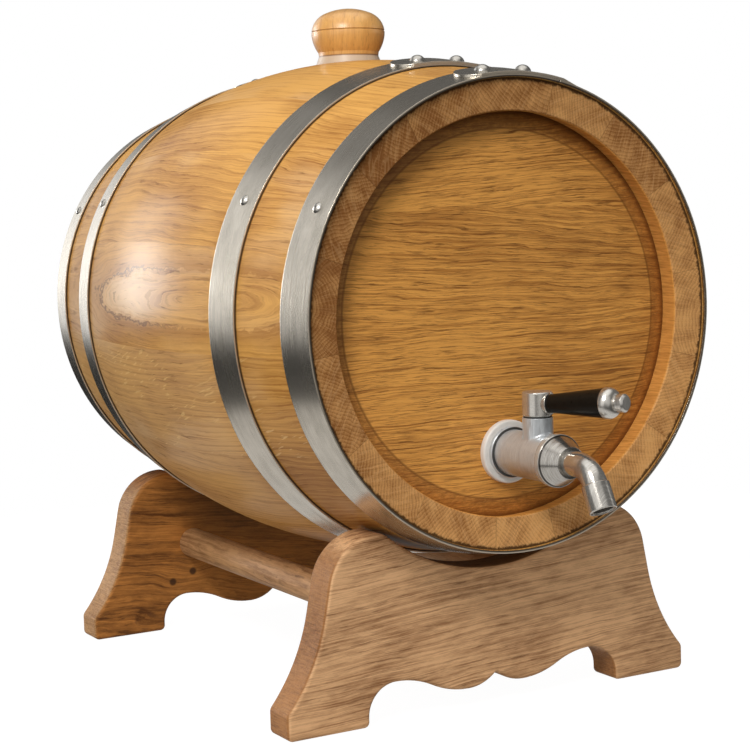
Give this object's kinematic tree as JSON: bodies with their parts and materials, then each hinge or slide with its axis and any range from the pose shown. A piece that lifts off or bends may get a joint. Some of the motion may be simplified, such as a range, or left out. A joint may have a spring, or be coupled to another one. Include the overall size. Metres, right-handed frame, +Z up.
{
  "type": "barrel with a tap on a cradle",
  "caption": "Small oak barrel bound with lapped steel hoops, lying in a cradle of shaped boards and dowels, with a lever tap in its front head and a turned wooden bung on top.",
  "frame": {"origin": "on the floor under the middle of the whole part, tap included, which is 36 mm in front of the middle of the barrel", "axes": "+Z up, the tap end faces -Y, the barrel's axis runs along Y, +X is to the right seen from the tap end"},
  "size_m": [0.276, 0.4096, 0.3737],
  "materials": {
    "stave_oak": "varnished honey oak, glossy",
    "head_oak": "varnished golden oak, satin",
    "cradle_oak": "bare light oak, matte",
    "bung_wood": "turned and varnished, glossy",
    "hoop_steel": "brushed along the strip",
    "tap_steel": "fine brushed stainless steel",
    "polished_steel": "polished stainless steel",
    "white_nylon": "milky white nylon",
    "black_grip": "glossy black",
    "black_seal": "matte black"
  },
  "bodies": {
    "cradle": {"cradle_front_board": "cradle_oak", "cradle_rear_board": "cradle_oak", "cradle_left_dowel": "cradle_oak", "cradle_right_dowel": "cradle_oak"},
    "barrel": {"bung_stave": "stave_oak", "stave_02": "stave_oak", "stave_03": "stave_oak", "stave_04": "stave_oak", "stave_05": "stave_oak", "stave_06": "stave_oak", "stave_07": "stave_oak", "stave_08": "stave_oak", "stave_09": "stave_oak", "stave_10": "stave_oak", "stave_11": "stave_oak", "stave_12": "stave_oak", "stave_13": "stave_oak", "stave_14": "stave_oak", "stave_15": "stave_oak", "stave_16": "stave_oak", "front_head_board_1": "head_oak", "front_head_board_2": "head_oak", "front_head_board_3": "head_oak", "front_head_board_4": "head_oak", "rear_head_board_1": "head_oak", "rear_head_board_2": "head_oak", "rear_head_board_3": "head_oak", "rear_head_board_4": "head_oak", "front_head_pins": "head_oak", "rear_head_pins": "head_oak", "front_head_hoop": "hoop_steel", "front_quarter_hoop": "hoop_steel", "rear_quarter_hoop": "hoop_steel", "rear_head_hoop": "hoop_steel", "hoop_rivets": "hoop_steel", "hoop_nails": "hoop_steel", "tap_body": "tap_steel", "tap_lock_nut": "tap_steel", "spout_nut": "tap_steel", "plug_clip": "tap_steel", "spout_tube": "polished_steel", "spout_nozzle": "polished_steel", "tap_outer_washer": "white_nylon", "tap_inner_washer": "white_nylon", "spout_seal": "black_seal"},
    "tap_lever": {"tap_plug": "tap_steel", "plug_o_rings": "black_seal", "lever_washer": "black_seal", "lever_hub": "tap_steel", "lever_set_screw": "tap_steel", "lever_ferrule": "tap_steel", "lever_rod": "tap_steel", "lever_grip": "black_grip", "lever_end_cap": "polished_steel"},
    "bung": {"bung": "bung_wood"}
  },
  "joints": [
    {"name": "barrel_lift", "type": "slide", "parent": "cradle", "child": "barrel", "axis": [0, 0, 1], "range_m": [0, 0.12]},
    {"name": "tap_turn", "type": "hinge", "parent": "barrel", "child": "tap_lever", "pos_m": [0, -0.14572, 0.16224], "axis": [0, 0, -1], "range_deg": [-70, 20]},
    {"name": "bung_pull", "type": "slide", "parent": "barrel", "child": "bung", "axis": [0, 0, 1], "range_m": [0, 0.06]}
  ]
}
